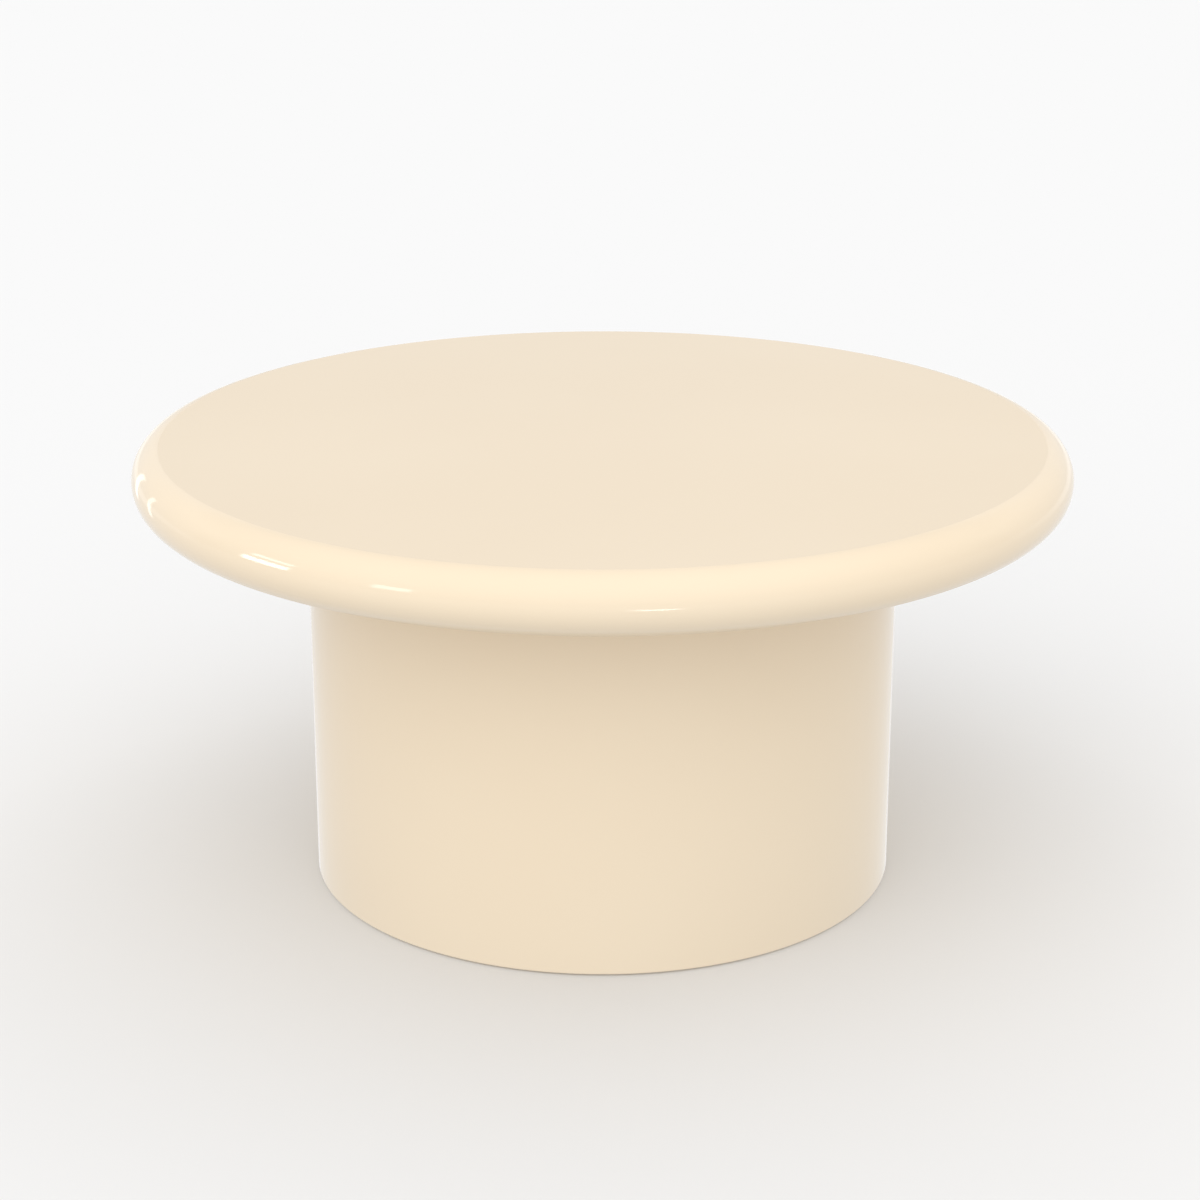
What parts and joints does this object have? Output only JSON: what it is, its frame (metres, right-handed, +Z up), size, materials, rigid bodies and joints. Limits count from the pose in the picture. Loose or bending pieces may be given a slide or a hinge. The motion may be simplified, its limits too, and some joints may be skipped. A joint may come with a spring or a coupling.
{
  "type": "round cocktail table",
  "caption": "Low round cocktail table with a thick bullnosed top on a plain drum base, in gloss lacquered board, with hidden levelling feet.",
  "frame": {"origin": "on the floor, under the middle of the table", "axes": "+Z up along the drum's axis; the picture looks along +Y"},
  "size_m": [0.914, 0.914, 0.4445],
  "materials": {
    "lacquered_board": "high-gloss cream lacquer",
    "core_board": "raw fibreboard",
    "plywood": "raw birch plywood",
    "beech": "raw beech",
    "zinc_steel": "bright zinc plate",
    "brass": "turned",
    "nylon": "moulded"
  },
  "bodies": {
    "table": {"upper_skin": "lacquered_board", "lower_skin": "lacquered_board", "drum_facing": "lacquered_board", "rim_segment_1": "lacquered_board", "rim_segment_2": "lacquered_board", "rim_segment_3": "lacquered_board", "rim_segment_4": "lacquered_board", "rim_segment_5": "lacquered_board", "rim_segment_6": "lacquered_board", "rim_segment_7": "lacquered_board", "rim_segment_8": "lacquered_board", "core_hub": "core_board", "core_spoke_1": "core_board", "core_spoke_2": "core_board", "core_spoke_3": "core_board", "core_spoke_4": "core_board", "core_spoke_5": "core_board", "core_spoke_6": "core_board", "core_spoke_7": "core_board", "core_spoke_8": "core_board", "drum_liner": "plywood", "upper_former": "plywood", "middle_former": "plywood", "lower_former": "plywood", "stile_1": "plywood", "stile_2": "plywood", "stile_3": "plywood", "stile_4": "plywood", "stile_5": "plywood", "stile_6": "plywood", "stile_7": "plywood", "stile_8": "plywood", "rim_biscuits": "beech", "locating_dowels": "beech", "top_bolts": "zinc_steel", "bolt_washers": "zinc_steel", "upper_stile_screws": "zinc_steel", "lower_stile_screws": "zinc_steel", "tee_nuts": "zinc_steel", "threaded_inserts": "brass"},
    "leveller_pad_1": {"leveller_pad_1": "nylon"},
    "leveller_stem_1": {"leveller_stem_1": "zinc_steel"},
    "leveller_pad_2": {"leveller_pad_2": "nylon"},
    "leveller_stem_2": {"leveller_stem_2": "zinc_steel"},
    "leveller_pad_3": {"leveller_pad_3": "nylon"},
    "leveller_stem_3": {"leveller_stem_3": "zinc_steel"},
    "leveller_pad_4": {"leveller_pad_4": "nylon"},
    "leveller_stem_4": {"leveller_stem_4": "zinc_steel"}
  },
  "joints": [
    {"name": "leveller_1_lift", "type": "slide", "parent": "table", "child": "leveller_pad_1", "axis": [0, 0, -1], "range_m": [0, 0.01]},
    {"name": "leveller_1_turn", "type": "hinge", "parent": "leveller_pad_1", "child": "leveller_stem_1", "pos_m": [0.15896, 0.15896, 0], "axis": [0, 0, -1], "range_deg": [0, 2880]},
    {"name": "leveller_2_lift", "type": "slide", "parent": "table", "child": "leveller_pad_2", "axis": [0, 0, -1], "range_m": [0, 0.01]},
    {"name": "leveller_2_turn", "type": "hinge", "parent": "leveller_pad_2", "child": "leveller_stem_2", "pos_m": [-0.15896, 0.15896, 0], "axis": [0, 0, -1], "range_deg": [0, 2880]},
    {"name": "leveller_3_lift", "type": "slide", "parent": "table", "child": "leveller_pad_3", "axis": [0, 0, -1], "range_m": [0, 0.01]},
    {"name": "leveller_3_turn", "type": "hinge", "parent": "leveller_pad_3", "child": "leveller_stem_3", "pos_m": [-0.15896, -0.15896, 0], "axis": [0, 0, -1], "range_deg": [0, 2880]},
    {"name": "leveller_4_lift", "type": "slide", "parent": "table", "child": "leveller_pad_4", "axis": [0, 0, -1], "range_m": [0, 0.01]},
    {"name": "leveller_4_turn", "type": "hinge", "parent": "leveller_pad_4", "child": "leveller_stem_4", "pos_m": [0.15896, -0.15896, 0], "axis": [0, 0, -1], "range_deg": [0, 2880]}
  ],
  "couplings": [
    {"joint": "leveller_1_lift", "follows": "leveller_1_turn", "m_per_rad": 0.00019894},
    {"joint": "leveller_2_lift", "follows": "leveller_2_turn", "m_per_rad": 0.00019894},
    {"joint": "leveller_3_lift", "follows": "leveller_3_turn", "m_per_rad": 0.00019894},
    {"joint": "leveller_4_lift", "follows": "leveller_4_turn", "m_per_rad": 0.00019894}
  ]
}
